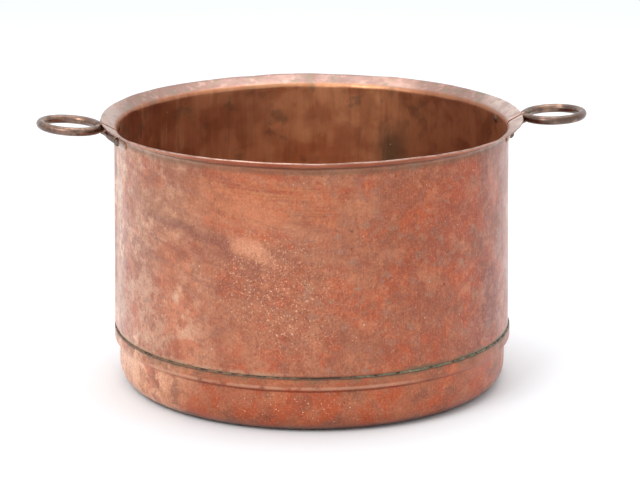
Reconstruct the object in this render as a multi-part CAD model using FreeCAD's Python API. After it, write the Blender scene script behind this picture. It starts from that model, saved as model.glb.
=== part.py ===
"""Laundry copper boiler: a free-standing drum of sheet copper with a flared rim and two ring handles.

Two half sheets, front and back, are lapped under the handles and make the wall with its rim.
The wall's foot sits in a socket, stepped out round the top of a raised bottom pan.
Each handle is one forged bar: a ring, a neck under the rim, and two leaf-shaped feet.
One rivet through each foot holds it to the wall.

Frame: millimetres, +Z up, origin at the middle of the underside.
The handles point along +X (right) and -X (left), and the front is -Y.
"""

import FreeCAD
import Part
import math
import os

Vector = FreeCAD.Vector
AXIS = Vector(0, 0, 1)

# ---- driving dimensions, in millimetres and degrees ----

SHEET_GAUGE = 1.8  # thickness of every copper sheet

# wall, measured on its inner face
WALL_RADIUS_TOP = 248.2  # where the rim flares out
WALL_RADIUS_FOOT = 252.2  # at its lower edge, inside the pan
RIM_BEND_HEIGHT = 332.8
RIM_SLOPE = 29.5  # rise of the flared rim above the horizontal
RIM_WIDTH = 22.6  # along the slope
RIM_BEND_RADIUS = 8.0
SEAM_HEIGHT = 73.0  # of the pan's lip
FOOT_DEPTH = 12.0  # height of the lap between the wall and the pan

# laps between the two wall sheets
LAP_WIDTH = 24.0
JOGGLE_LENGTH = 10.0  # over which the outer sheet steps out by its own thickness
BUTT_GAP = 0.4  # between a sheet's end and the step of the sheet over it
TRIM_GAP = 6.0  # between the pan's lip and the outer lap's lower edge

# bottom pan
SOLDER_GAP = 0.1  # between the wall's foot and the pan's lip
SOCKET_BELOW_FOOT = 1.5  # how far the socket goes on under the wall's foot
STEP_WIDTH = 6.4  # how far the socket stands out from the pan's side
STEP_HEIGHT = 4.5
STEP_BEND_RADIUS = 3.0
PAN_CORNER_RADIUS = 24.0  # on the inner face

# handles
BAR_RADIUS = 5.5
RING_RADIUS = 37.0  # of the bar's centreline
NECK_BEND_RADIUS = {"left": 8.0, "right": 11.0}  # of the bar's centreline
NECK_GAP = 1.4  # between the two strands of the bar
RIM_CLEARANCE = 0.4  # between the neck and the rim above it
WALL_CLEARANCE = 0.9  # between the neck and the lap behind it
NECK_SETTING_RADIUS = 10.0  # bend that sets the ring's tilt
RING_TILT = {"left": 5.0, "right": 2.5}  # rise of each ring above the horizontal

# feet of the handles
FOOT_RUN = 62.0  # length of a foot along the wall
FOOT_DROP = 3.3  # how far its leaf hangs below the neck
LEAF_HALF_HEIGHT = 8.0
LEAF_THICKNESS = 2.8
LEAF_BEDDING = 0.6  # how far the leaf's centre lies inside the wall's face before it is fitted
TIP_SHARE = 0.30  # height of the blunt tip, as a share of the full leaf
TIP_THINNING = 0.4  # how much of that narrowing the thickness follows
FLATTENING_SHARE = 0.36  # share of the foot's run over which the round bar becomes flat
LEAF_FULL_SHARE = 0.55  # share of the foot's run where the leaf starts to round off

# how finely the drawn-down bar is laid out
NECK_SECTIONS = 9
FOOT_SECTIONS = 20
OVAL_POINTS = 16  # round each section

# rivets
RIVET_RADIUS = 4.0
RIVET_FIT = 0.05  # radial clearance of the shank in its hole
RIVET_FROM_TIP = 33.0  # from the leaf's tip, along the wall
RIVET_HEAD_RADIUS = 5.5
RIVET_HEAD_HEIGHT = 4.6  # outside, on the leaf
INNER_HEAD_RADIUS = 5.5
INNER_HEAD_HEIGHT = 1.6  # inside, on the wall
HEAD_SUNK = 1.4  # how far the outer head reaches down round the crown of the leaf
INNER_HEAD_SUNK = 0.6  # the same for the inner head and the hollow of the wall
SHANK_IN_HEAD = 0.4  # how far the shank is carried into each head

# solder in the groove at the top of the pan's lip
BEAD_RADIUS = 1.7
BEAD_FLATS = 12  # flats that would go right round the bead's section
BEAD_RUNS = 12  # equal runs that the bead is laid in

# ---- plane geometry: points are (radius, height) ----


def toward(start, end):
    """Unit direction from one point to another."""
    length = math.dist(start, end)
    return (end[0] - start[0]) / length, (end[1] - start[1]) / length


def cross(first, second):
    return first[0] * second[1] - first[1] * second[0]


def offset_points(points, distance):
    """The same path moved to its right-hand side, with mitred corners."""
    moved = []
    for i, (x, y) in enumerate(points):
        arriving = toward(points[max(i - 1, 0)], points[max(i, 1)])
        leaving = toward(points[min(i, len(points) - 2)], points[min(i + 1, len(points) - 1)])
        turn_cosine = arriving[0] * leaving[0] + arriving[1] * leaving[1]
        scale = distance / (1 + turn_cosine)
        moved.append((x + (arriving[1] + leaving[1]) * scale, y - (arriving[0] + leaving[0]) * scale))
    return moved


def in_section(point):
    return Vector(point[0], 0, point[1])


def rounded_edges(points, radii):
    """Straight edges along the points, with an arc at each inner corner."""
    edges = []
    start = points[0]
    for corner, radius, before, after in zip(points[1:-1], radii, points, points[2:]):
        arriving = toward(before, corner)
        leaving = toward(corner, after)
        half_turn = abs(math.asin(cross(arriving, leaving))) / 2
        reach = radius * math.tan(half_turn)
        inward = toward((0, 0), (leaving[0] - arriving[0], leaving[1] - arriving[1]))
        sag = radius / math.cos(half_turn) - radius
        arc_start = (corner[0] - arriving[0] * reach, corner[1] - arriving[1] * reach)
        arc_middle = (corner[0] + inward[0] * sag, corner[1] + inward[1] * sag)
        arc_end = (corner[0] + leaving[0] * reach, corner[1] + leaving[1] * reach)
        edges.append(Part.LineSegment(in_section(start), in_section(arc_start)).toShape())
        edges.append(Part.Arc(*map(in_section, (arc_start, arc_middle, arc_end))).toShape())
        start = arc_end
    edges.append(Part.LineSegment(in_section(start), in_section(points[-1])).toShape())
    return edges


def sheet_side(points, radii, distance):
    """Corner points and bend radii of the face that lies at an offset from the points."""
    grown = []
    for radius, before, corner, after in zip(radii, points, points[1:], points[2:]):
        turn = cross(toward(before, corner), toward(corner, after))
        grown.append(radius + math.copysign(distance, turn))
    return offset_points(points, distance), grown


def closed_wire(edges, *gaps):
    """One closed wire of the edges and of a straight line across each gap."""
    lines = [Part.LineSegment(in_section(start), in_section(end)).toShape() for start, end in gaps]
    return Part.Wire(Part.__sortEdges__(edges + lines))


def sheet_wire(points, radii, near, far):
    """Closed outline of a sheet whose two faces lie at the near and far offsets from the points."""
    near_points, near_radii = sheet_side(points, radii, near)
    far_points, far_radii = sheet_side(points, radii, far)
    faces = rounded_edges(near_points, near_radii) + rounded_edges(far_points, far_radii)
    return closed_wire(faces, (near_points[0], far_points[0]), (near_points[-1], far_points[-1]))


def turned(shape, azimuth):
    """A copy of the shape, turned about the boiler's axis."""
    copy = shape.copy()
    copy.rotate(Vector(0, 0, 0), AXIS, azimuth)
    return copy


def spun(wire, start, sweep):
    """Solid swept by a section wire about the boiler's axis."""
    return Part.Face(turned(wire, start)).revolve(Vector(0, 0, 0), AXIS, sweep)


# ---- lines of the wall and the pan, on their inner faces ----

FOOT_HEIGHT = SEAM_HEIGHT - FOOT_DEPTH
TRIM_HEIGHT = SEAM_HEIGHT + TRIM_GAP


def wall_radius(height):
    """Radius of the wall's inner face between the foot and the rim."""
    share = (height - FOOT_HEIGHT) / (RIM_BEND_HEIGHT - FOOT_HEIGHT)
    return WALL_RADIUS_FOOT + share * (WALL_RADIUS_TOP - WALL_RADIUS_FOOT)


FOOT_POINT = (WALL_RADIUS_FOOT, FOOT_HEIGHT)
SEAM_POINT = (wall_radius(SEAM_HEIGHT), SEAM_HEIGHT)
TRIM_POINT = (wall_radius(TRIM_HEIGHT), TRIM_HEIGHT)
RIM_BEND_POINT = (WALL_RADIUS_TOP, RIM_BEND_HEIGHT)
LIP_POINT = (
    WALL_RADIUS_TOP + RIM_WIDTH * math.cos(math.radians(RIM_SLOPE)),
    RIM_BEND_HEIGHT + RIM_WIDTH * math.sin(math.radians(RIM_SLOPE)),
)


def whole_wall_wire():
    points = [FOOT_POINT, RIM_BEND_POINT, LIP_POINT]
    return sheet_wire(points, [RIM_BEND_RADIUS], 0, SHEET_GAUGE)


def upper_wall_wire(layer):
    """Section above the pan's lip. Layer 0 is the wall itself, and layer 1 lies against its outside."""
    points = [TRIM_POINT, RIM_BEND_POINT, LIP_POINT]
    return sheet_wire(points, [RIM_BEND_RADIUS], layer * SHEET_GAUGE, (layer + 1) * SHEET_GAUGE)


def drum_inside_wall():
    """Solid that fills the boiler out to the wall's outer face."""
    points, radii = sheet_side([TRIM_POINT, RIM_BEND_POINT, LIP_POINT], [RIM_BEND_RADIUS], SHEET_GAUGE)
    below = (0, points[0][1])
    above = (0, points[-1][1])
    outer_face = rounded_edges(points, radii)
    return spun(closed_wire(outer_face, (points[-1], above), (above, below), (below, points[0])), 0, 360)


def lower_wall_wire():
    """Section below the outer lap's lower edge, where the two sheets only butt."""
    return sheet_wire([FOOT_POINT, TRIM_POINT], [], 0, SHEET_GAUGE)


# ---- wall sheets ----


def degrees_along(length):
    """Angle about the axis of a length along the wall's outer face."""
    return math.degrees(length / (WALL_RADIUS_TOP + SHEET_GAUGE))


LAP_HALF = degrees_along(LAP_WIDTH / 2)
BUTT = degrees_along(BUTT_GAP)
JOGGLE = degrees_along(JOGGLE_LENGTH)
RIGHT, LEFT = 0, 180


def back_wall_sheet():
    """The inner sheet of both laps: it reaches past each handle towards the front."""
    return spun(whole_wall_wire(), RIGHT - LAP_HALF, LEFT - RIGHT + 2 * LAP_HALF)


def front_wall_sheet():
    """The outer sheet of both laps: each end steps out over the back sheet, above the pan's lip."""
    margin = LAP_HALF + BUTT + JOGGLE
    sheet = spun(whole_wall_wire(), LEFT + margin, 360 + RIGHT - LEFT - 2 * margin)
    for side, forward in ((LEFT, 1), (RIGHT, -1)):
        step_start = side + forward * margin
        step_end = side + forward * (LAP_HALF + BUTT)
        step = Part.makeLoft(
            [turned(upper_wall_wire(0), step_start), turned(upper_wall_wire(1), step_end)], True, True
        )
        lap = spun(upper_wall_wire(1), step_end, -forward * (2 * LAP_HALF + BUTT))
        butt = spun(lower_wall_wire(), step_start, -forward * JOGGLE)
        sheet = sheet.fuse([step, lap, butt])
    return sheet.removeSplitter()


# ---- bottom pan ----


def pan_wire():
    """Section of the pan: flat bottom, round corner, low side, and the socket round the wall's foot."""
    foot, seam = offset_points([FOOT_POINT, SEAM_POINT], SHEET_GAUGE + SOLDER_GAP)
    along = toward(foot, seam)
    socket_start = (foot[0] - along[0] * SOCKET_BELOW_FOOT, foot[1] - along[1] * SOCKET_BELOW_FOOT)
    side_radius = socket_start[0] - STEP_WIDTH
    step_start = (side_radius, socket_start[1] - STEP_HEIGHT)
    points = [(0, SHEET_GAUGE), (side_radius, SHEET_GAUGE), step_start, socket_start, seam]
    return sheet_wire(points, [PAN_CORNER_RADIUS, STEP_BEND_RADIUS, STEP_BEND_RADIUS], 0, SHEET_GAUGE)


def bottom_pan():
    return spun(pan_wire(), 0, 360)


# ---- handles, made on the right-hand side with X outwards and Y along the wall ----

OUTER_RADIUS = WALL_RADIUS_TOP + SHEET_GAUGE
NECK_RISE = math.radians(RIM_SLOPE)  # the neck runs along the rim's underside
NECK_STANDOFF = SHEET_GAUGE + WALL_CLEARANCE + BAR_RADIUS  # bar's centre from the wall's outer face
UNDER_RIM = (2 * SHEET_GAUGE + RIM_CLEARANCE + BAR_RADIUS) / math.cos(NECK_RISE)
NECK_HEIGHT = RIM_BEND_HEIGHT + (SHEET_GAUGE + NECK_STANDOFF) * math.tan(NECK_RISE) - UNDER_RIM
LEAF_HEIGHT = NECK_HEIGHT - FOOT_DROP  # of the leaf's middle


def bend_along(side):
    """Centre of the neck's bend, along the wall."""
    return BAR_RADIUS + NECK_GAP / 2 + NECK_BEND_RADIUS[side]


def ring_opening(side):
    """Half the angle that the neck leaves open."""
    return math.asin(bend_along(side) / (RING_RADIUS + NECK_BEND_RADIUS[side]))


def ring_reach(side):
    """From the neck's inner end to the ring's centre, along the bar's own bent plane."""
    centres_apart = RING_RADIUS + NECK_BEND_RADIUS[side]
    return NECK_BEND_RADIUS[side] + centres_apart * math.cos(ring_opening(side))


def bar_place(reach, side):
    """(outwards, height) of the bar's centre at a reach along the bar's own bent plane."""
    tilt = math.radians(RING_TILT[side])
    meeting_reach = ring_reach(side) - RING_RADIUS * math.cos(ring_opening(side))
    bend_length = NECK_SETTING_RADIUS * (NECK_RISE - tilt)
    straight = min(reach, meeting_reach - bend_length)
    out = OUTER_RADIUS + NECK_STANDOFF + straight * math.cos(NECK_RISE)
    height = NECK_HEIGHT + straight * math.sin(NECK_RISE)
    angle = NECK_RISE - min(reach - straight, bend_length) / NECK_SETTING_RADIUS
    out += NECK_SETTING_RADIUS * (math.sin(NECK_RISE) - math.sin(angle))
    height += NECK_SETTING_RADIUS * (math.cos(angle) - math.cos(NECK_RISE))
    beyond = max(reach - meeting_reach, 0)
    return out + beyond * math.cos(tilt), height + beyond * math.sin(tilt)


def eased(share):
    """Smooth step from 0 to 1."""
    share = min(max(share, 0), 1)
    return share * share * (3 - 2 * share)


def between(start, end, share):
    return start + (end - start) * share


def neck_stations(side):
    """(centre, half height, half thickness) of the round bar, from the ring round to the foot."""
    stations = []
    for i in range(NECK_SECTIONS):
        angle = between(-ring_opening(side), -math.pi, i / (NECK_SECTIONS - 1))
        out, height = bar_place(NECK_BEND_RADIUS[side] * (1 + math.cos(angle)), side)
        along = bend_along(side) + NECK_BEND_RADIUS[side] * math.sin(angle)
        stations.append((Vector(out, along, height), BAR_RADIUS, BAR_RADIUS))
    return stations


def foot_stations(side):
    """(centre, half height, half thickness) of the foot, which flattens into a leaf on the wall."""
    start = Vector(OUTER_RADIUS + NECK_STANDOFF, bend_along(side), 0)
    start_angle = math.atan2(start.y, start.x)
    stations = []
    for i in range(1, FOOT_SECTIONS + 1):
        share = i / FOOT_SECTIONS
        flat = eased(share / FLATTENING_SHARE)
        radius = between(start.Length, OUTER_RADIUS - LEAF_BEDDING, flat)
        angle = start_angle + share * FOOT_RUN / OUTER_RADIUS
        centre = Vector(radius * math.cos(angle), radius * math.sin(angle), NECK_HEIGHT - FOOT_DROP * flat)
        taper = max(share - LEAF_FULL_SHARE, 0) / (1 - LEAF_FULL_SHARE)
        leaf = between(TIP_SHARE, 1, math.sqrt(1 - taper**2))
        half_height = between(BAR_RADIUS, LEAF_HALF_HEIGHT, flat) * leaf
        half_thickness = between(BAR_RADIUS, LEAF_THICKNESS + LEAF_BEDDING, flat)
        stations.append((centre, half_height, half_thickness * between(1, leaf, TIP_THINNING)))
    return stations


def oval(centre, direction, up, half_height, half_thickness):
    """Oval outline of the bar, square to its direction, with one axis as near to up as it can be."""
    sideways = direction.cross(up).normalize()
    upright = sideways.cross(direction).normalize()
    points = []
    for i in range(OVAL_POINTS):
        angle = 2 * math.pi * i / OVAL_POINTS
        rise = upright * half_height * math.cos(angle)
        points.append(centre + rise + sideways * half_thickness * math.sin(angle))
    curve = Part.BSplineCurve()
    curve.interpolate(points, True)
    return Part.Wire(curve.toShape())


def half_bar(side):
    """(solid, outline where it meets the ring) of the neck and the foot on one side of the handle."""
    stations = neck_stations(side) + foot_stations(side)
    centres = [station[0] for station in stations]
    neighbours = zip(centres[:1] + centres, centres[1:] + centres[-1:])
    directions = [after - before for before, after in neighbours]
    tilt = math.radians(RING_TILT[side])
    opening = ring_opening(side)
    inward = math.sin(opening)
    directions[0] = Vector(-inward * math.cos(tilt), -math.cos(opening), -inward * math.sin(tilt))
    ups = [Vector(-math.sin(tilt), 0, math.cos(tilt))] + [AXIS] * (len(stations) - 1)
    wires = [oval(place, way, up, *halves) for (place, *halves), way, up in zip(stations, directions, ups)]
    return Part.makeLoft(wires, True, False), wires[0]


def forged_bar(side):
    """The whole bar from the tip of one leaf to the tip of the other, bedded on the wall."""
    half, meeting = half_bar(side)
    mirrored = half.mirror(Vector(0, 0, 0), Vector(0, 1, 0))
    out, height = bar_place(ring_reach(side), side)
    tilt = math.radians(RING_TILT[side])
    ring_axis = Vector(-math.sin(tilt), 0, math.cos(tilt))
    sweep = 360 - 2 * math.degrees(ring_opening(side))
    ring = Part.Face(meeting).revolve(Vector(out, 0, height), ring_axis, -sweep)
    return ring.fuse([half, mirrored]).cut(drum_inside_wall())


# ---- rivets, made along +X at the height of the leaves ----

INNER_SEAT = wall_radius(LEAF_HEIGHT)
OUTER_SEAT = OUTER_RADIUS + LEAF_THICKNESS


def rivet_angle(side):
    """From the middle of the handle to each rivet, in degrees about the boiler's axis."""
    foot_start = math.atan2(bend_along(side), OUTER_RADIUS + NECK_STANDOFF)
    return math.degrees(foot_start + (FOOT_RUN - RIVET_FROM_TIP) / OUTER_RADIUS)


def rivet_cylinder(radius, start, end):
    return Part.makeCylinder(radius, end - start, Vector(start, 0, LEAF_HEIGHT), Vector(1, 0, 0))


def rivet_head(seat, sunk, radius, height):
    """Domed head on its seat. It starts below the seat, so that it can be cut to fit a curved face."""
    inside = Vector(seat - math.copysign(sunk, height), 0, LEAF_HEIGHT)
    crown = Vector(seat + height, 0, LEAF_HEIGHT)
    rim = Vector(seat, 0, LEAF_HEIGHT + radius)
    dome_radius = (radius**2 + height**2) / (2 * abs(height))
    half_turn = math.asin(radius / dome_radius) / 2
    dome_centre = seat + height - math.copysign(dome_radius, height)
    shoulder_out = dome_centre + math.copysign(dome_radius * math.cos(half_turn), height)
    shoulder = Vector(shoulder_out, 0, LEAF_HEIGHT + dome_radius * math.sin(half_turn))
    sunk_rim = Vector(inside.x, 0, rim.z)
    dome = Part.Arc(crown, shoulder, rim).toShape()
    outline = Part.Wire([dome, *Part.makePolygon([rim, sunk_rim, inside, crown]).Edges])
    return Part.Face(outline).revolve(crown, Vector(1, 0, 0), 360)


def rivet(azimuth, sheet, bar):
    """One rivet: a head that fits the leaf, a shank, and a wide head that fits the wall's inside."""
    outer = rivet_head(OUTER_SEAT, HEAD_SUNK, RIVET_HEAD_RADIUS, RIVET_HEAD_HEIGHT)
    inner = rivet_head(INNER_SEAT, INNER_HEAD_SUNK, INNER_HEAD_RADIUS, -INNER_HEAD_HEIGHT)
    heads = [turned(outer, azimuth).cut(bar), turned(inner, azimuth).cut(sheet)]
    shank = rivet_cylinder(RIVET_RADIUS, INNER_SEAT - SHANK_IN_HEAD, OUTER_SEAT + SHANK_IN_HEAD)
    return turned(shank, azimuth).fuse(heads)


def rivet_hole(azimuth):
    """Drill that passes right through the wall and the leaf."""
    drill = rivet_cylinder(RIVET_RADIUS + RIVET_FIT, INNER_SEAT - BAR_RADIUS, OUTER_SEAT + BAR_RADIUS)
    return turned(drill, azimuth)


# ---- solder ----


def solder_bead():
    """Ring of solder in the corner between the pan's lip and the wall, shaped by both."""
    centre = Vector(SEAM_POINT[0] + SHEET_GAUGE, 0, SEAM_HEIGHT)
    spokes = [math.radians(i * 360 / BEAD_FLATS) for i in range(BEAD_FLATS)]
    corners = [centre + Vector(math.cos(a), 0, math.sin(a)) * BEAD_RADIUS for a in spokes]
    outline = Part.Face(Part.makePolygon(corners + corners[:1]))
    gap_wire = sheet_wire([FOOT_POINT, SEAM_POINT], [], SHEET_GAUGE, SHEET_GAUGE + SOLDER_GAP)
    around = [Part.Face(wire) for wire in (whole_wall_wire(), gap_wire, pan_wire())]
    section = max(outline.cut(around).Faces, key=lambda face: face.Area)
    sweep = 360 / BEAD_RUNS
    runs = [turned(section, i * sweep).revolve(Vector(0, 0, 0), AXIS, sweep) for i in range(BEAD_RUNS)]
    return runs[0].fuse(runs[1:])


# ---- assembly ----


def main():
    sheets = {"front": front_wall_sheet(), "rear": back_wall_sheet()}
    nodes = {"bottom_pan": bottom_pan(), "seam_solder": solder_bead()}
    for side, azimuth, forward in (("left", LEFT, 1), ("right", RIGHT, -1)):
        bar = turned(forged_bar(side), azimuth)
        holes = []
        for end, toward_front in (("front", forward), ("rear", -forward)):
            place = azimuth + toward_front * rivet_angle(side)
            nodes[side + "_handle_" + end + "_rivet"] = rivet(place, sheets[end], bar)
            sheets[end] = sheets[end].cut(rivet_hole(place))
            holes.append(rivet_hole(place))
        nodes[side + "_handle"] = bar.cut(holes)
    nodes["front_wall_sheet"] = sheets["front"]
    nodes["back_wall_sheet"] = sheets["rear"]
    os.makedirs("parts", exist_ok=True)
    for name, shape in nodes.items():
        shape.exportStep("parts/" + name + ".step")


main()
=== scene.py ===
import math

import bmesh
import bpy
from mathutils import Matrix, Vector, noise


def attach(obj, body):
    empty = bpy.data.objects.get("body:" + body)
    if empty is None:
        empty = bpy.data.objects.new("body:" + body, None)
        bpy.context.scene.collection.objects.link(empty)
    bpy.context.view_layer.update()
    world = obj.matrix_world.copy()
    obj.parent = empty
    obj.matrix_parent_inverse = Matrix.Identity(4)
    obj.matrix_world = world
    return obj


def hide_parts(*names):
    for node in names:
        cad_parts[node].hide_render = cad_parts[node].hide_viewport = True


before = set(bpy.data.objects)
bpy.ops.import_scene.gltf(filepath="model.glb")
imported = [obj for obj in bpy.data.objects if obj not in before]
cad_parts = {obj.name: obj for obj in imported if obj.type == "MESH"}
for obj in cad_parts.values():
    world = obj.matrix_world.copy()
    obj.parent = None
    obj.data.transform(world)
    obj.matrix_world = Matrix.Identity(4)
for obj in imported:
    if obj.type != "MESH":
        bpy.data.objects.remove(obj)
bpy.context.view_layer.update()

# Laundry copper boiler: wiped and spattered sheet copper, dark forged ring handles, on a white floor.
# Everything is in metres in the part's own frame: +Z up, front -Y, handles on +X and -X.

MM = 0.001

# ---- sizes of the real boiler ----

SHEET = 1.8 * MM
WALL_TOP = Vector((248.2, 0, 332.8)) * MM  # inner face, where the rim flares out
WALL_FOOT = Vector((252.2, 0, 61.0)) * MM  # inner face, at the lower edge inside the pan
SEAM_HEIGHT = 73.0 * MM
RIM_RISE = math.radians(29.5)
RIM_WIDTH = 22.6 * MM
RIM_BEND = 8.0 * MM
LAP_HALF = 12.0 * MM
STEP_LENGTH = 10.0 * MM  # along the wall, over which the outer sheet steps out at a lap
TRIM_HEIGHT = 79.0 * MM  # lower edge of the outer sheet's laps
TRIM_STEP = 3.0 * MM  # height over which it steps out above that edge
PAN_CORNER = 24.0 * MM
SOCKET_BELOW_FOOT = 1.5 * MM
SOCKET_STEP = Vector((6.4, 0, 4.5)) * MM  # how far the socket steps out from the pan's side, and how high
STEP_BEND = 3.0 * MM
LIP_GAP = 0.1 * MM
EDGE_ROUNDING = 0.5 * MM
RADIUS = WALL_TOP.x + SHEET

# how finely the sheets are drawn
LONGEST_RUN = 5.0 * MM
WALL_STEPS = 260
PAN_STEPS = 480

# heights where the hand-beaten unevenness starts, is full, starts to fade and ends
WALL_WORKED = (85 * MM, 130 * MM, 325 * MM, 335 * MM)
PAN_WORKED = (6 * MM, 20 * MM, 42 * MM, 54 * MM)
RIM_WORKED = (322 * MM, 336 * MM)
FEET_FLAT = (60 * MM, 110 * MM)  # along the wall from a handle: flat up to one, free from the other

# ---- mesh helpers ----


def arc_reach(radius, turn):
    """Distance from a corner to where an arc of the radius leaves the straight runs."""
    return radius * math.tan(turn / 2)


def section(points, corners):
    """Wire of straight runs with rounded corners. corners maps a point's number to (reach, steps)."""
    wire = bmesh.new()
    verts = [wire.verts.new(point) for point in points]
    for pair in zip(verts, verts[1:]):
        wire.edges.new(pair)
    for number, (reach, steps) in corners.items():
        bmesh.ops.bevel(
            wire,
            geom=[verts[number]],
            offset=reach,
            segments=steps,
            profile=0.5,
            affect="VERTICES",
            material=-1,
        )
    for edge in list(wire.edges):
        cuts = int(edge.calc_length() / LONGEST_RUN)
        if cuts:
            bmesh.ops.subdivide_edges(wire, edges=[edge], cuts=cuts)
    return wire


def spin_round(shape, start, sweep, steps):
    """Turns a section into a sheet round the boiler's axis, facing away from the inside."""
    bmesh.ops.rotate(shape, verts=shape.verts, cent=(0, 0, 0), matrix=Matrix.Rotation(start, 3, "Z"))
    bmesh.ops.spin(
        shape,
        geom=shape.verts[:] + shape.edges[:],
        cent=(0, 0, 0),
        axis=(0, 0, 1),
        angle=sweep,
        steps=steps,
        use_merge=math.isclose(sweep, math.tau),
    )
    bmesh.ops.remove_doubles(shape, verts=shape.verts, dist=0.01 * MM)
    bmesh.ops.recalc_face_normals(shape, faces=shape.faces)
    lowest = min(shape.faces, key=lambda face: face.calc_center_median().z)
    middle = lowest.calc_center_median()
    if lowest.normal.dot(Vector((middle.x, middle.y, -1))) < 0:
        bmesh.ops.reverse_faces(shape, faces=shape.faces)


def sheet_object(name, shape, finishes):
    """Object of the sheet with its real thickness put on outside its inner face, and rounded edges."""
    mesh = bpy.data.meshes.new(name)
    shape.to_mesh(mesh)
    shape.free()
    mesh.polygons.foreach_set("use_smooth", [True] * len(mesh.polygons))
    made = bpy.data.objects.new(name, mesh)
    bpy.context.scene.collection.objects.link(made)
    for finish in finishes:
        mesh.materials.append(finish)
    thick = made.modifiers.new("thickness", "SOLIDIFY")
    thick.thickness = SHEET
    thick.offset = 1
    thick.use_even_offset = True
    thick.material_offset = 1
    thick.material_offset_rim = 2
    edges = made.modifiers.new("rounded_edges", "BEVEL")
    edges.width = EDGE_ROUNDING
    edges.segments = 2
    edges.limit_method = "ANGLE"
    edges.angle_limit = math.radians(50)
    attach(made, "root")
    return made


def angle_of(point):
    return math.atan2(point.y, point.x)


def from_handle(point):
    """Distance along the wall from the nearer handle's middle line, counted towards the front."""
    angle = angle_of(point)
    if abs(angle) > math.pi / 2:
        return (angle - math.copysign(math.pi, angle)) * RADIUS
    return -angle * RADIUS


def rising(value, low, high):
    """Smooth step from 0 at low to 1 at high."""
    share = min(max((value - low) / (high - low), 0), 1)
    return share * share * (3 - 2 * share)


def between(value, start, full, fade, end):
    """Smooth step up from 0 to 1, and down again to 0."""
    return rising(value, start, full) * (1 - rising(value, fade, end))


# ---- how the copper was worked: shallow unevenness that every sheet shares ----


def unevenness(point, size, seed):
    """Smooth random value between -1 and 1, which changes over about the size given."""
    return noise.noise(point / size + Vector((seed, 0, 0)))


def worked(point):
    """The same point of a sheet beaten by hand: slightly uneven, but true where the feet and seam sit."""
    level = Vector((point.x, point.y, 0))
    outward = level.normalized()
    free = rising(abs(from_handle(point)), *FEET_FLAT)
    dents = 0.9 * unevenness(point, 90 * MM, 3) + 0.4 * unevenness(point, 35 * MM, 7)
    wall_share = between(point.z, *WALL_WORKED) * free
    pan_share = between(point.z, *PAN_WORKED) * 0.8
    rim_share = rising(point.z, *RIM_WORKED) * free
    ripple = 1.1 * unevenness(level, 110 * MM, 11) + 0.7 * unevenness(level, 38 * MM, 17)
    inward = 0.5 + 0.9 * unevenness(level, 60 * MM, 23)
    moved = outward * dents * (wall_share + pan_share)
    moved += (Vector((0, 0, ripple)) - outward * inward) * rim_share
    return point + moved * MM


# ---- nodes ----


def paint(colour):
    """Linear colour of an sRGB hex value."""
    channels = [int(colour[i : i + 2], 16) / 255 for i in (1, 3, 5)]
    return (*(c / 12.92 if c <= 0.04045 else ((c + 0.055) / 1.055) ** 2.4 for c in channels), 1.0)


def add(tree, kind, inputs=None, **settings):
    """Adds a node with its settings, and sets or links its inputs by name or number."""
    made = tree.nodes.new("ShaderNode" + kind)
    for name, value in settings.items():
        setattr(made, name, value)
    for name, value in (inputs or {}).items():
        if isinstance(value, bpy.types.NodeSocket):
            tree.links.new(value, made.inputs[name])
        else:
            made.inputs[name].default_value = value
    return made


# ---- masks: their sizes and places are in millimetres ----


def blotches(tree, place, size, level, softness, seed):
    """Irregular patches of about the size given; a higher level leaves fewer of them."""
    moved = add(tree, "Mapping", {"Vector": place, "Location": (seed, seed * 0.7, seed * 0.3)})
    cells = {"Vector": moved.outputs[0], "Scale": 1 / (size * MM), "Detail": 6.0, "Roughness": 0.62}
    cloud = add(tree, "TexNoise", cells)
    edge = {"Value": cloud.outputs[0], "From Min": level - softness, "From Max": level + softness}
    return add(tree, "MapRange", edge, interpolation_type="SMOOTHSTEP").outputs[0]


def brushed(tree, laid_flat, length, width, lean, level, softness, seed):
    """Straight marks of a length and width, leaning from the level by an angle."""
    stretched = {
        "Vector": laid_flat,
        "Location": (seed, seed * 0.6, 0),
        "Rotation": (0, 0, lean),
        "Scale": (length * MM, width * MM, 1),
    }
    along = add(tree, "Mapping", stretched, vector_type="TEXTURE").outputs[0]
    marks = add(tree, "TexNoise", {"Vector": along, "Scale": 1.0, "Detail": 4.0, "Roughness": 0.55})
    edge = {"Value": marks.outputs[0], "From Min": level - softness, "From Max": level + softness}
    return add(tree, "MapRange", edge, interpolation_type="SMOOTHSTEP").outputs[0]


def smear(tree, laid_flat, middle, reach, lean=0.0):
    """Soft ragged oval at a place on the laid-flat sheet; reach is its half length and half height."""
    frays_per_metre = 45.0
    fray_reach = (45 * MM, 30 * MM, 0.0)
    frays = {"Vector": laid_flat, "Scale": frays_per_metre, "Detail": 4.0, "Roughness": 0.6}
    frayed = add(tree, "TexNoise", frays)
    centred = add(tree, "VectorMath", {0: frayed.outputs[1], 1: (0.5, 0.5, 0.5)}, operation="SUBTRACT")
    pushed = {0: centred.outputs[0], 1: fray_reach, 2: laid_flat}
    ragged = add(tree, "VectorMath", pushed, operation="MULTIPLY_ADD")
    oval = {
        "Vector": ragged.outputs[0],
        "Location": (middle[0] * MM, middle[1] * MM, 0),
        "Rotation": (0, 0, lean),
        "Scale": (reach[0] * MM, reach[1] * MM, 1),
    }
    local = add(tree, "Mapping", oval, vector_type="TEXTURE")
    distance = add(tree, "VectorMath", {0: local.outputs[0]}, operation="LENGTH").outputs["Value"]
    full_to, gone_at = 0.35, 1.25  # distances from the middle, as shares of the reach
    fade = {"Value": distance, "From Min": full_to, "From Max": gone_at, "To Min": 1.0, "To Max": 0.0}
    return add(tree, "MapRange", fade, interpolation_type="SMOOTHSTEP").outputs[0]


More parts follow.
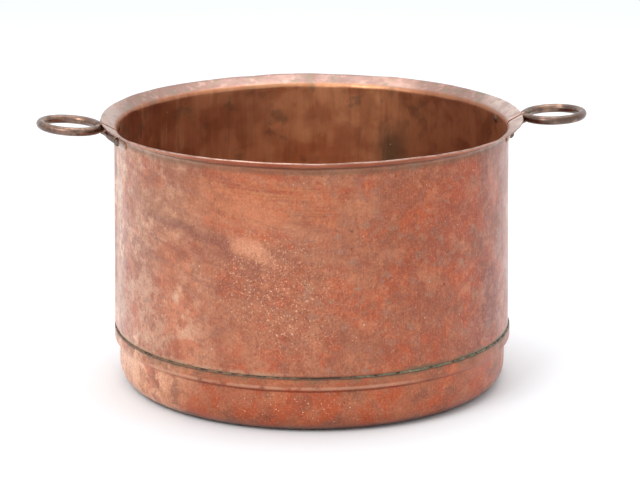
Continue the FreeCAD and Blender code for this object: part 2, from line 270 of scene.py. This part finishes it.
def specks(tree, place, spacing, largest, share):
    """Small round spots of varied size, about a spacing apart; share is how many cells hold one."""
    cells = add(tree, "TexVoronoi", {"Vector": place, "Scale": 1 / (spacing * MM)})
    chance = add(tree, "SeparateColor", {"Color": cells.outputs["Color"]})
    reach = {"Value": chance.outputs[0], "From Min": 1 - share, "From Max": 1.0, "To Max": largest / spacing}
    spot = add(tree, "MapRange", reach)
    inside = add(tree, "Math", {0: spot.outputs[0], 1: cells.outputs["Distance"]}, operation="SUBTRACT")
    sharpness = 4.0 * spacing / largest
    sharp = {0: inside.outputs[0], 1: sharpness}
    return add(tree, "Math", sharp, operation="MULTIPLY", use_clamp=True).outputs[0]


def both(tree, first, second):
    """Where two masks meet."""
    return add(tree, "Math", {0: first, 1: second}, operation="MULTIPLY").outputs[0]


def band(tree, value, low, high):
    """Rises from 0 to 1 as the value goes from low to high, or falls if high is below low."""
    edge = {"Value": value, "From Min": min(low, high) * MM, "From Max": max(low, high) * MM}
    if high < low:
        edge.update({"To Min": 1.0, "To Max": 0.0})
    return add(tree, "MapRange", edge, interpolation_type="SMOOTHSTEP").outputs[0]


def strip(tree, value, start, full, fade, end):
    """Rises from 0 to 1 and falls to 0 again as the value goes through the four places."""
    return both(tree, band(tree, value, start, full), band(tree, value, end, fade))


# ---- coats ----


def coat(tree, under, colour, where, strength=1.0):
    """Lays a colour over what is below it, as thickly as the mask and the strength allow."""
    cover = add(tree, "Math", {0: where, 1: strength}, operation="MULTIPLY")
    over = {0: cover.outputs[0], 6: under, 7: paint(colour)}
    return add(tree, "Mix", over, data_type="RGBA").outputs[2]


def patchwork(tree, under, place, layers, within=None):
    """Lays coats in blotches, one after the other. A layer is a colour, then the blotches' size in mm,
    level, softness and seed, and the coat's strength. within is a mask that all of them keep to."""
    for colour, size, level, softness, seed, strength in layers:
        where = blotches(tree, place, size, level, softness, seed)
        if within:
            where = both(tree, where, within)
        under = coat(tree, under, colour, where, strength)
    return under


def spatter(tree, under, place, layers, within=None):
    """Lays coats in specks. A layer is a colour, then the specks' spacing and largest size in mm, the share
    of cells that hold one, and the coat's strength. within is a mask that all of them keep to."""
    for colour, spacing, largest, share, strength in layers:
        where = specks(tree, place, spacing, largest, share)
        if within:
            where = both(tree, where, within)
        under = coat(tree, under, colour, where, strength)
    return under


def tinted(tree, under, colour):
    """Multiplies what is below by a colour, as a thin oxide film does."""
    over = {0: 1.0, 6: under, 7: paint(colour)}
    return add(tree, "Mix", over, data_type="RGBA", blend_type="MULTIPLY").outputs[2]


# ---- shaders ----


def new_finish(name, colour, roughness, metallic=1.0):
    """Material with its shader, its places (object, laid-flat) and a plain colour for the viewport."""
    made = bpy.data.materials.new(name)
    made.use_nodes = True
    tree = made.node_tree
    shader = tree.nodes["Principled BSDF"]
    shader.inputs["Metallic"].default_value = metallic
    shader.inputs["Roughness"].default_value = roughness
    made.diffuse_color = paint(colour)
    where = add(tree, "TexCoord")
    return made, tree, shader, where.outputs["Object"], where.outputs["UV"]


def start_colour(tree, colour):
    """The bare colour that the coats are laid over."""
    return add(tree, "Mix", {0: 0.0, 6: paint(colour), 7: paint(colour)}, data_type="RGBA").outputs[2]


def uneven_surface(tree, shader, place, dents, grain, height):
    """Relief of shallow beaten dents and of fine pitting. Sizes and height are in millimetres."""
    beaten = add(tree, "TexNoise", {"Vector": place, "Scale": 1 / (dents * MM), "Detail": 1.0})
    pitted = add(tree, "TexNoise", {"Vector": place, "Scale": 1 / (grain * MM), "Detail": 3.0})
    dented = {"Strength": 0.35, "Distance": height * MM, "Height": beaten.outputs[0]}
    first = add(tree, "Bump", dented)
    pits = {"Strength": 0.25, "Distance": height * MM / 4, "Height": pitted.outputs[0]}
    relief = add(tree, "Bump", {**pits, "Normal": first.outputs[0]})
    tree.links.new(relief.outputs[0], shader.inputs["Normal"])


def uneven_roughness(tree, shader, place, dull, bright, size, seed):
    """Roughness between that of the bright metal and that of the dull film, in clouds of a size in mm."""
    where = blotches(tree, place, size, 0.5, 0.12, seed)
    spread = add(tree, "MapRange", {"Value": where, "To Min": bright, "To Max": dull})
    tree.links.new(spread.outputs[0], shader.inputs["Roughness"])


def greasy_film(shader, weight, roughness):
    """Clear film of grease and polish, which whitens the metal where it is seen at a glancing angle."""
    shader.inputs["Coat Weight"].default_value = weight
    shader.inputs["Coat Roughness"].default_value = roughness


# ---- finishes ----


def wiped_sheet_copper():
    """Sheet copper, cold rolled and polished by hand with a rag: salmon where it was rubbed last, with a
    painted salmon highlight down the left side, purple-grey film and orange-red oxide elsewhere, with pale
    specks of limescale and old polish."""
    made, tree, shader, place, flat = new_finish("wiped_sheet_copper", "#B07456", 0.42)
    greasy_film(shader, 0.6, 0.22)
    across, _, up = add(tree, "SeparateXYZ", {"Vector": place}).outputs
    colour = start_colour(tree, "#B2785A")
    # broad changes: painted pale salmon highlight at the left, orange-red oxide at the right, painted dark
    # reflection just short of the limb
    # painted highlight: pale salmon down the left side of the wall
    colour = coat(tree, colour, "#F4D8BE", band(tree, across, -120, -225))
    colour = coat(tree, colour, "#A85230", band(tree, across, 0, 150), 0.85)
    # painted dark reflection in a band just short of the right limb
    colour = coat(tree, colour, "#7A3420", strip(tree, across, 165, 200, 215, 238), 0.75)
    mottle = (
        ("#A06A52", 90, 0.52, 0.05, 1.0, 0.5),
        ("#C05C2C", 55, 0.53, 0.04, 5.0, 0.6),
        ("#CC9270", 38, 0.56, 0.04, 12.0, 0.5),
        ("#A04E34", 22, 0.55, 0.04, 31.0, 0.45),
        ("#A07868", 16, 0.58, 0.03, 33.0, 0.5),
        ("#D08C64", 8.5, 0.57, 0.03, 35.0, 0.35),
        ("#8E4E36", 7, 0.58, 0.03, 37.0, 0.4),
    )
    colour = patchwork(tree, colour, place, mottle)
    # rag marks, all falling to the right
    rubbed = smear(tree, flat, (-160, 250), (200, 110), -0.2)
    light_rag = both(tree, rubbed, brushed(tree, flat, 140, 16, -0.24, 0.52, 0.10, 0.4))
    colour = coat(tree, colour, "#C08C6C", light_rag, 0.55)
    dark_rag = both(tree, rubbed, brushed(tree, flat, 160, 12, -0.22, 0.54, 0.08, 3.1))
    colour = coat(tree, colour, "#8E5A4C", dark_rag, 0.5)
    wiped = (
        ("#80544C", (-190, 247), (85, 12), -0.22, 0.62),
        ("#C69A7A", (-225, 266), (90, 11), -0.22, 0.5),
        ("#DCA484", (-95, 228), (34, 12), -0.5, 0.9),
        ("#8C4630", (-190, 308), (50, 16), -0.3, 0.5),
        ("#D8946E", (-115, 285), (75, 20), -0.25, 0.45),
    )
    for shade, middle, reach, lean, strength in wiped:
        colour = coat(tree, colour, shade, smear(tree, flat, middle, reach, lean), strength)
    # fine lines where the top was scoured
    scoured = smear(tree, flat, (-90, 290), (130, 30), -0.05)
    lines = brushed(tree, flat, 120, 2.2, -0.04, 0.52, 0.12, 1.7)
    colour = coat(tree, colour, "#C28A5C", both(tree, scoured, lines), 0.65)
    # soft grey-green bloom on the right-hand half, and dull film in broken patches
    bloom = [("#A08A78", 18, 0.61, 0.03, 9.0, 0.55)]
    colour = patchwork(tree, colour, place, bloom, within=band(tree, across, -100, 0))
    film = [("#925E46", 14, 0.50, 0.10, 22.0, 0.45)]
    colour = patchwork(tree, colour, place, film, within=blotches(tree, place, 100, 0.52, 0.06, 21.0))
    # rolling grain, up and down the wall, and fine tarnish; both are drawn coarser than life, to show at all
    colour = coat(tree, colour, "#7E4A38", brushed(tree, flat, 1.1, 50, 0.0, 0.5, 0.16, 6.3), 0.14)
    colour = coat(tree, colour, "#D0A088", brushed(tree, flat, 1.4, 35, 0.0, 0.60, 0.08, 9.9), 0.14)
    tarnish = (("#7A4028", 3.0, 0.54, 0.08, 14.0, 0.26), ("#DCA488", 2.6, 0.58, 0.06, 15.0, 0.24))
    colour = patchwork(tree, colour, place, tarnish)
    # spatter of limescale and old polish, thickest in one zone, and pits
    zone = smear(tree, flat, (-65, 178), (100, 85), -0.9)
    crumbs = (("#E2C2A8", 2.6, 0.60, 0.025, 18.0, 0.7), ("#6A3A2A", 2.8, 0.60, 0.03, 19.0, 0.55))
    colour = patchwork(tree, colour, place, crumbs, within=zone)
    colour = spatter(tree, colour, place, [("#EED8C4", 6.0, 1.2, 0.5, 0.8)], within=zone)
    stray = blotches(tree, place, 45, 0.53, 0.06, 4.0)
    colour = spatter(tree, colour, place, [("#DDC0A8", 4.2, 1.0, 0.45, 0.65)], within=stray)
    colour = spatter(tree, colour, place, (("#E4CCB4", 13, 1.3, 0.35, 0.7), ("#4E3026", 24, 2.1, 0.35, 0.7)))
    colour = patchwork(tree, colour, place, [("#5E3C30", 6, 0.68, 0.03, 8.0, 0.6)])
    # dirt with painted shade in the crevice just above the solder, and stain above it: chalky at the left,
    # green at the right
    colour = coat(tree, colour, "#4A3024", band(tree, up, 77.2, 75.0), 0.4)
    damp = both(tree, band(tree, up, 80.5, 77.0), blotches(tree, place, 12, 0.44, 0.08, 17.0))
    colour = coat(tree, colour, "#C0AC92", both(tree, damp, band(tree, across, -20, -100)), 0.6)
    colour = coat(tree, colour, "#6E6A50", both(tree, damp, band(tree, across, 50, 120)), 0.75)
    # painted highlight on the underside of the rim, and grime with painted shade in the bend below it
    colour = coat(tree, colour, "#DCA48C", band(tree, up, 333, 337), 0.7)
    colour = coat(tree, colour, "#70604A", strip(tree, up, 322, 328, 333, 338), 0.5)
    colour = tinted(tree, colour, "#F8E2D6")
    tree.links.new(colour, shader.inputs["Base Color"])
    uneven_roughness(tree, shader, place, 0.58, 0.40, 30, 3.0)
    uneven_surface(tree, shader, place, 40, 2.2, 1.0)
    return made


def oxidised_inside():
    """The inner face: copper that boiled water for years, dull brown, with runs, grey scale and white
    specks. Above the bend it is the flared rim, rubbed pale and pink by hands, with a painted highlight
    short of the right handle."""
    made, tree, shader, place, _ = new_finish("oxidised_inside", "#8E5C3E", 0.5)
    greasy_film(shader, 0.5, 0.35)
    across, along, up = add(tree, "SeparateXYZ", {"Vector": place}).outputs
    colour = start_colour(tree, "#CC9068")
    colour = coat(tree, colour, "#96523A", band(tree, across, 20, -220), 0.7)
    colour = patchwork(tree, colour, place, [("#C48A5A", 80, 0.54, 0.10, 1.0, 0.4)])
    # runs of water down the wall: blotches drawn out to ten times their height
    runs = add(tree, "Mapping", {"Vector": place, "Scale": (1, 1, 0.10)}).outputs[0]
    streaks = (("#8A4E30", 14, 0.54, 0.12, 2.0, 0.28), ("#D0A078", 7, 0.58, 0.08, 8.0, 0.35))
    colour = patchwork(tree, colour, runs, streaks)
    # grey scale, and one dark streak low on the back wall, right of its middle
    colour = patchwork(tree, colour, place, [("#6A6450", 30, 0.60, 0.05, 7.0, 0.4)])
    low_back = both(tree, band(tree, up, 300, 250), band(tree, along, 160, 220))
    dark_streak = both(tree, strip(tree, across, 100, 126, 138, 164), low_back)
    colour = patchwork(tree, colour, runs, [("#5E5440", 20, 0.42, 0.1, 6.0, 0.85)], within=dark_streak)
    colour = spatter(tree, colour, place, [("#E6DAC4", 16, 1.5, 0.3, 0.85)])
    colour = coat(tree, colour, "#8A4E34", band(tree, across, 100, 180), 0.6)
    # the rim: palest by both handles, darker at the left, and a painted highlight short of the right handle
    rim = band(tree, up, 332.5, 336.5)
    colour = coat(tree, colour, "#98786E", rim)
    sideways = add(tree, "Math", {0: across}, operation="ABSOLUTE").outputs[0]
    colour = coat(tree, colour, "#D4C0B8", both(tree, rim, band(tree, sideways, 225, 255)), 0.85)
    colour = coat(tree, colour, "#846456", both(tree, rim, band(tree, across, -80, -130)), 0.35)
    # painted highlight on the rim short of the right handle
    colour = coat(tree, colour, "#D0AC9C", both(tree, rim, strip(tree, across, 100, 125, 150, 170)), 0.6)
    mottle = (
        ("#8A5C4C", 22, 0.55, 0.08, 5.0, 0.4),
        ("#7E7860", 14, 0.58, 0.06, 6.0, 0.6),
        ("#B89488", 12, 0.58, 0.06, 11.0, 0.6),
    )
    colour = patchwork(tree, colour, place, mottle, within=rim)
    tree.links.new(colour, shader.inputs["Base Color"])
    uneven_roughness(tree, shader, place, 0.6, 0.42, 40, 3.0)
    uneven_surface(tree, shader, place, 35, 2.2, 1.0)
    return made


def rubbed_edge():
    """The cut edge of the sheet, bright where hands and cloths rub it."""
    made, tree, shader, place, _ = new_finish("rubbed_edge", "#98786A", 0.45)
    colour = start_colour(tree, "#BC9C90")
    colour = patchwork(tree, colour, place, [("#84604E", 15, 0.52, 0.08, 1.0, 0.6)])
    tree.links.new(colour, shader.inputs["Base Color"])
    uneven_surface(tree, shader, place, 20, 2, 0.6)
    return made


def fire_side_copper():
    """The bottom pan: copper that sat over the fire, orange-red with oxide and brown at its lower edge."""
    made, tree, shader, place, flat = new_finish("fire_side_copper", "#A0583C", 0.46)
    greasy_film(shader, 0.5, 0.25)
    across, _, up = add(tree, "SeparateXYZ", {"Vector": place}).outputs
    colour = start_colour(tree, "#AC6E52")
    # painted highlight: pale down the left side of the pan
    colour = coat(tree, colour, "#F2D0B4", band(tree, across, -140, -225))
    mottle = (
        ("#B85628", 55, 0.52, 0.04, 2.0, 0.6),
        ("#BC8260", 40, 0.55, 0.06, 1.0, 0.55),
        ("#7E5648", 30, 0.57, 0.05, 3.0, 0.55),
        ("#94705A", 10, 0.60, 0.05, 13.0, 0.5),
        ("#74402A", 3.0, 0.54, 0.08, 14.0, 0.30),
        ("#D8A084", 2.6, 0.57, 0.06, 15.0, 0.28),
    )
    colour = patchwork(tree, colour, place, mottle)
    zone = smear(tree, flat, (-35, 30), (100, 35))
    colour = spatter(tree, colour, place, [("#E8D0BC", 3.2, 1.0, 0.6, 0.8)], within=zone)
    colour = spatter(tree, colour, place, (("#E0C4AC", 8, 1.2, 0.5, 0.7), ("#4A3026", 16, 1.8, 0.4, 0.6)))
    colour = coat(tree, colour, "#5E4234", band(tree, up, 12, 2), 0.7)
    # the socket: brown film, a painted highlight along its step, verdigris and dirt below the solder, and
    # painted shade in the crevice at the lip's top
    socket = band(tree, up, 58, 62)
    colour = patchwork(tree, colour, place, [("#80604C", 20, 0.48, 0.10, 7.0, 0.3)], within=socket)
    # painted highlight along the bend of the step
    step = both(tree, strip(tree, up, 57.5, 59.5, 61.5, 63.5), band(tree, across, 140, 60))
    colour = patchwork(tree, colour, place, [("#CDB09C", 22, 0.47, 0.05, 23.0, 0.5)], within=step)
    crept = band(tree, up, 66, 72)
    colour = patchwork(tree, colour, place, [("#6E6C54", 10, 0.5, 0.06, 0.0, 0.6)], within=crept)
    # dirt with painted shade in the crevice under the solder, at the top of the lip
    colour = coat(tree, colour, "#4A342A", band(tree, up, 70.8, 72.6), 0.75)
    colour = tinted(tree, colour, "#FCE0D0")
    tree.links.new(colour, shader.inputs["Base Color"])
    uneven_roughness(tree, shader, place, 0.58, 0.40, 30, 5.0)
    uneven_surface(tree, shader, place, 35, 2, 1.2)
    return made


def forged_bar_patina():
    """Forged copper bar with decades of brown film, rubbed to bare metal on the crown. The feet were cleaned
    together with the wall, and are as pale."""
    made, tree, shader, place, _ = new_finish("forged_bar_patina", "#7E6456", 0.42)
    greasy_film(shader, 0.6, 0.3)
    colour = start_colour(tree, "#7C6052")
    film = (("#4C3A32", 18, 0.5, 0.10, 1.0, 0.75), ("#A07C64", 12, 0.57, 0.06, 2.0, 0.55))
    colour = patchwork(tree, colour, place, film)
    level = add(tree, "VectorMath", {0: place, 1: (1, 1, 0)}, operation="MULTIPLY")
    from_axis = add(tree, "VectorMath", {0: level.outputs[0]}, operation="LENGTH").outputs["Value"]
    colour = coat(tree, colour, "#B08C7A", band(tree, from_axis, 256, 253), 0.9)
    tree.links.new(colour, shader.inputs["Base Color"])
    uneven_roughness(tree, shader, place, 0.52, 0.34, 10, 3.0)
    uneven_surface(tree, shader, place, 12, 1.5, 1.0)
    return made


def dull_rivet_copper():
    """Rivet heads, hammered over and left with a grey-brown film."""
    made, tree, shader, place, _ = new_finish("dull_rivet_copper", "#6E5E52", 0.5)
    colour = start_colour(tree, "#7E6E62")
    colour = patchwork(tree, colour, place, [("#4A3E36", 6, 0.5, 0.1, 1.0, 0.8)])
    tree.links.new(colour, shader.inputs["Base Color"])
    uneven_surface(tree, shader, place, 4, 1, 0.8)
    return made


def stained_solder():
    """Tin-lead solder in the seam: dark and greasy, chalky at the left and green with verdigris at the
    right, where water crept in."""
    made, tree, shader, place, _ = new_finish("stained_solder", "#3C3022", 0.7, metallic=0.4)
    across = add(tree, "SeparateXYZ", {"Vector": place}).outputs[0]
    colour = start_colour(tree, "#3E2C22")
    colour = patchwork(tree, colour, place, [("#7A5A44", 9, 0.56, 0.06, 4.0, 0.6)])
    left = band(tree, across, -20, -90)
    colour = patchwork(tree, colour, place, [("#94785A", 14, 0.46, 0.08, 2.0, 0.55)], within=left)
    green = both(tree, blotches(tree, place, 10, 0.46, 0.06, 1.0), band(tree, across, 0, 80))
    colour = coat(tree, colour, "#6C7058", green, 0.85)
    colour = patchwork(tree, colour, place, [("#B4AE98", 5, 0.56, 0.05, 3.0, 0.45)], within=green)
    tree.links.new(colour, shader.inputs["Base Color"])
    uneven_surface(tree, shader, place, 6, 1, 1)
    return made


# ---- sheets ----


def wall_section():
    """Inner face of the wall from its foot to the lip, with the laps' trim line as a point of its own."""
    trim = WALL_FOOT.lerp(WALL_TOP, (TRIM_HEIGHT - WALL_FOOT.z) / (WALL_TOP.z - WALL_FOOT.z))
    lip = WALL_TOP + Vector((math.cos(RIM_RISE), 0, math.sin(RIM_RISE))) * RIM_WIDTH
    bend = (arc_reach(RIM_BEND, math.pi / 2 - RIM_RISE), 8)
    return section([WALL_FOOT, trim, WALL_TOP, lip], {2: bend})


def lay_out_flat(shape, sheet_middle):
    """UV map in metres: along the wall from the sheet's middle, and up."""
    flat = shape.loops.layers.uv.new("laid_flat")
    for face in shape.faces:
        for loop in face.loops:
            turn = angle_of(Matrix.Rotation(-sheet_middle, 3, "Z") @ loop.vert.co)
            loop[flat].uv = (turn * RADIUS, loop.vert.co.z)


def outward_of_sheet(point):
    """Direction square to the wall or, above the bend, to the flared rim."""
    tip = rising(point.z, WALL_TOP.z - 5 * MM, WALL_TOP.z + 3 * MM) * (math.pi / 2 - RIM_RISE)
    level = Vector((point.x, point.y, 0)).normalized()
    return level * math.cos(tip) - Vector((0, 0, math.sin(tip)))


def step_over_laps(shape):
    """Lifts the ends of a wall sheet over the other sheet, and trims them short of the pan's lip."""
    under_lap = []
    for face in shape.faces:
        middle = face.calc_center_median()
        if middle.z < TRIM_HEIGHT and from_handle(middle) < LAP_HALF:
            under_lap.append(face)
    bmesh.ops.delete(shape, geom=under_lap, context="FACES")
    for vert in shape.verts:
        step = 1 - rising(from_handle(vert.co), LAP_HALF, LAP_HALF + STEP_LENGTH)
        over = rising(vert.co.z, TRIM_HEIGHT - TRIM_STEP, TRIM_HEIGHT)
        vert.co += outward_of_sheet(vert.co) * SHEET * step * over


def half_wall(name, middle, finishes, outer):
    """One of the two wall sheets, with half its lap past each handle. The outer one lies over the other."""
    half_angle = math.pi / 2 + LAP_HALF / RADIUS
    shape = wall_section()
    spin_round(shape, middle - half_angle, 2 * half_angle, WALL_STEPS)
    if outer:
        step_over_laps(shape)
    lay_out_flat(shape, middle)
    for vert in shape.verts:
        vert.co = worked(vert.co)
    return sheet_object(name, shape, finishes)


def pan(finishes):
    """Bottom pan, on its inner face: flat bottom, round corner, low side, socket for the wall's foot."""
    up = (WALL_TOP - WALL_FOOT).normalized()
    foot = WALL_FOOT + Vector((SHEET + LIP_GAP, 0, 0))
    top = foot + up * ((SEAM_HEIGHT - WALL_FOOT.z) / up.z)
    socket = foot - up * SOCKET_BELOW_FOOT
    step = socket - SOCKET_STEP
    outline = [Vector((0, 0, SHEET)), Vector((step.x, 0, SHEET)), step, socket, top]
    corner = (arc_reach(PAN_CORNER, math.pi / 2), 10)
    step_bend = (arc_reach(STEP_BEND, math.atan2(SOCKET_STEP.x, SOCKET_STEP.z)), 4)
    shape = section(outline, {1: corner, 2: step_bend, 3: step_bend})
    spin_round(shape, math.pi / 2, math.tau, PAN_STEPS)
    lay_out_flat(shape, -math.pi / 2)
    for vert in shape.verts:
        vert.co = worked(vert.co)
    return sheet_object("pan", shape, finishes)


outside = wiped_sheet_copper()
inside = oxidised_inside()
edge = rubbed_edge()

front_sheet = half_wall("front_sheet", -math.pi / 2, [outside, inside, edge], outer=True)
back_sheet = half_wall("back_sheet", math.pi / 2, [outside, inside, edge], outer=False)
pan_sheet = pan([fire_side_copper(), inside, edge])
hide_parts("front_wall_sheet")
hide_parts("back_wall_sheet")
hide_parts("bottom_pan")

# the CAD's own meshes, each with the finish for the last word of its name
node_finishes = {"handle": forged_bar_patina(), "rivet": dull_rivet_copper(), "solder": stained_solder()}
for node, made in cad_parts.items():
    finish = node_finishes.get(node.split("_")[-1])
    if finish:
        made.data.materials.clear()
        made.data.materials.append(finish)

# ---- studio ----

FLOOR_SIZE = 14.0

floor_shape = bmesh.new()
bmesh.ops.create_grid(floor_shape, x_segments=1, y_segments=1, size=FLOOR_SIZE / 2)
floor_mesh = bpy.data.meshes.new("floor")
floor_shape.to_mesh(floor_mesh)
floor_shape.free()
floor = bpy.data.objects.new("floor", floor_mesh)
bpy.context.scene.collection.objects.link(floor)
# matt background paper, so the floor shows a soft shadow and no reflection
floor_paper = bpy.data.materials.new("white_paper_floor")
floor_paper.use_nodes = True
paper = floor_paper.node_tree.nodes["Principled BSDF"]
paper.inputs["Base Color"].default_value = paint("#E9EDF0")
paper.inputs["Roughness"].default_value = 0.9
floor_mesh.materials.append(floor_paper)

world = bpy.data.worlds.new("white_studio")
bpy.context.scene.world = world
world.use_nodes = True
world.node_tree.nodes["Background"].inputs["Color"].default_value = paint("#FFFFFF")
world.node_tree.nodes["Background"].inputs["Strength"].default_value = 1.0


def soft_light(name, place, target, size, power):
    """Square soft box of a size in metres and a power in watts, aimed at a point."""
    data = bpy.data.lights.new(name, "AREA")
    data.shape = "SQUARE"
    data.size = size
    data.energy = power
    made = bpy.data.objects.new(name, data)
    made.location = place
    made.rotation_euler = (Vector(target) - Vector(place)).to_track_quat("-Z", "Y").to_euler()
    bpy.context.scene.collection.objects.link(made)


soft_light("key_box", place=(-1.6, -1.8, 2.2), target=(0, 0, 0.2), size=1.4, power=42)
soft_light("top_box", place=(0.3, 0.4, 2.6), target=(0, 0, 0.2), size=1.8, power=34)

# ---- camera, at the photograph's angle ----

CAMERA_TURN = math.radians(-5.5)
CAMERA_DISTANCE = 3.38785  # from the boiler's axis, on the level
CAMERA_HEIGHT = 1.07992
CAMERA_PITCH = math.radians(14.906)
PIXELS_PER_UNIT_TANGENT = 2719.17  # focal length, in pixels
FRAME_WIDTH = 640  # in pixels
AXIS_PIXEL = 311.82  # where the boiler's axis crosses the frame

lens = bpy.data.cameras.new("photograph_camera")
camera = bpy.data.objects.new("photograph_camera", lens)
lens.sensor_width = 36.0
lens.lens = PIXELS_PER_UNIT_TANGENT / FRAME_WIDTH * lens.sensor_width
camera.location = (
    CAMERA_DISTANCE * math.sin(CAMERA_TURN),
    -CAMERA_DISTANCE * math.cos(CAMERA_TURN),
    CAMERA_HEIGHT,
)
aside = math.atan((FRAME_WIDTH / 2 - AXIS_PIXEL) / PIXELS_PER_UNIT_TANGENT)
camera.rotation_euler = (math.pi / 2 - CAMERA_PITCH, 0, CAMERA_TURN - aside)
bpy.context.scene.collection.objects.link(camera)
bpy.context.scene.camera = camera
bpy.context.scene.view_settings.view_transform = "Standard"
